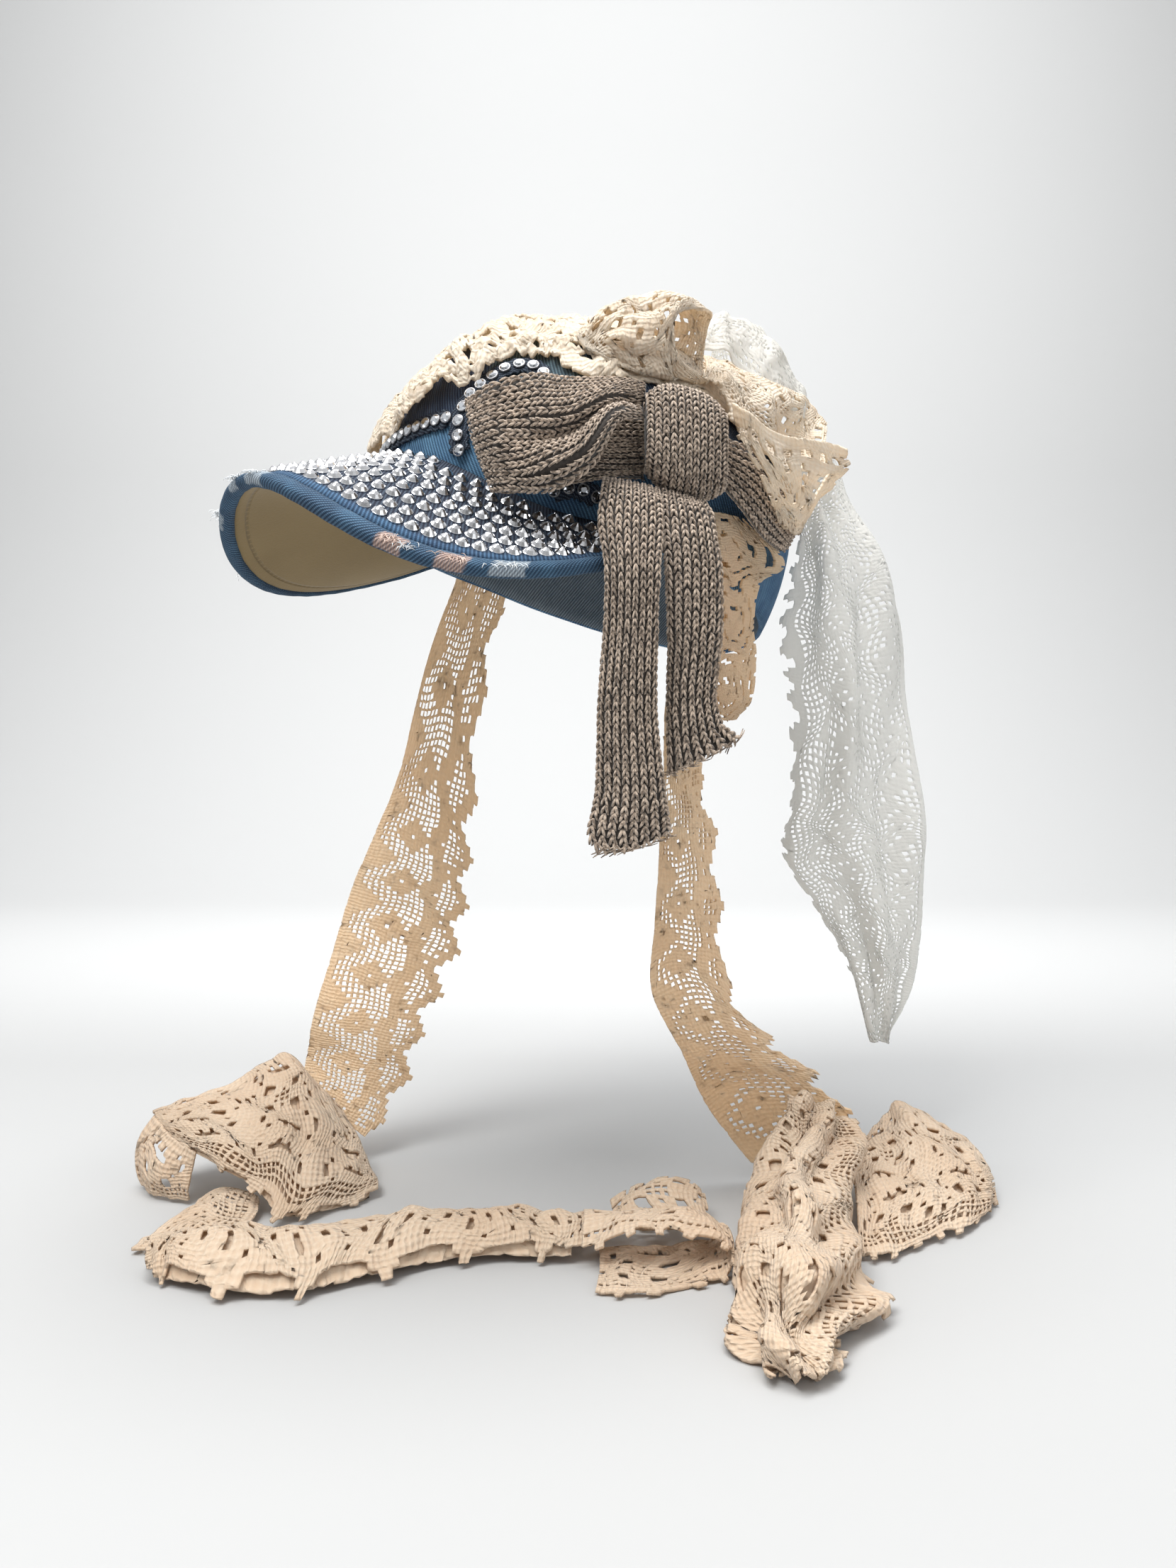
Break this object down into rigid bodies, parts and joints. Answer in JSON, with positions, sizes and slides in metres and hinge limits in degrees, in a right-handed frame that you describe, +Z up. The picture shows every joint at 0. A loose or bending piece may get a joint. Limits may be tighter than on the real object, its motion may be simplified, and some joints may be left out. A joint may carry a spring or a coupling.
{
  "type": "decorated denim peaked cap with knitted bow and lace ties",
  "caption": "Denim peaked cap with a studded peak, a knitted bow at the temple, crochet lace over the crown and long lace ties that reach the surface below.",
  "frame": {"origin": "centre of the head band, where the head fills the cap", "axes": "-Y is the way the cap faces, +X the wearer's left, +Z up; the cap is tilted back 6 degrees and to the left 5 degrees, as it is worn"},
  "size_m": [0.3066, 0.3364, 0.394],
  "materials": {
    "denim": "matt twill",
    "denim_dark": "matt twill",
    "denim_edging": "worn twill",
    "tan_felt": "matt felt",
    "silver_stud": "bright",
    "silver_stone": "faceted, bright",
    "taupe_knitting": "ribbed wool",
    "ecru_crochet": "open cotton crochet",
    "white_lace": "thin net lace"
  },
  "bodies": {
    "root": {"crown": "denim", "peak_board": "denim_dark", "peak_lining": "tan_felt", "peak_binding": "denim_edging", "peak_studs": "silver_stud", "stone_chain_front": "silver_stone", "stone_chain_upright": "silver_stone", "stone_chain_upper": "silver_stone", "stone_chain_side": "silver_stone", "bow_knot": "taupe_knitting", "bow_loop_front": "taupe_knitting", "bow_loop_back": "taupe_knitting", "bow_tail_long": "taupe_knitting", "bow_tail_short": "taupe_knitting", "lace_crown": "ecru_crochet", "lace_rosette": "ecru_crochet", "lace_drape_top": "ecru_crochet", "lace_drape_front": "ecru_crochet", "lace_ear": "ecru_crochet", "tie_far": "ecru_crochet", "tie_near": "ecru_crochet", "heap_far_panel": "ecru_crochet", "heap_far_roll": "ecru_crochet", "heap_far_fold": "ecru_crochet", "floor_strip": "ecru_crochet", "floor_strip_loop": "ecru_crochet", "floor_strip_flap": "ecru_crochet", "heap_near_fan": "ecru_crochet", "heap_near_front": "ecru_crochet", "white_lace_puff": "white_lace", "white_lace_tail": "white_lace"}
  },
  "joints": []
}
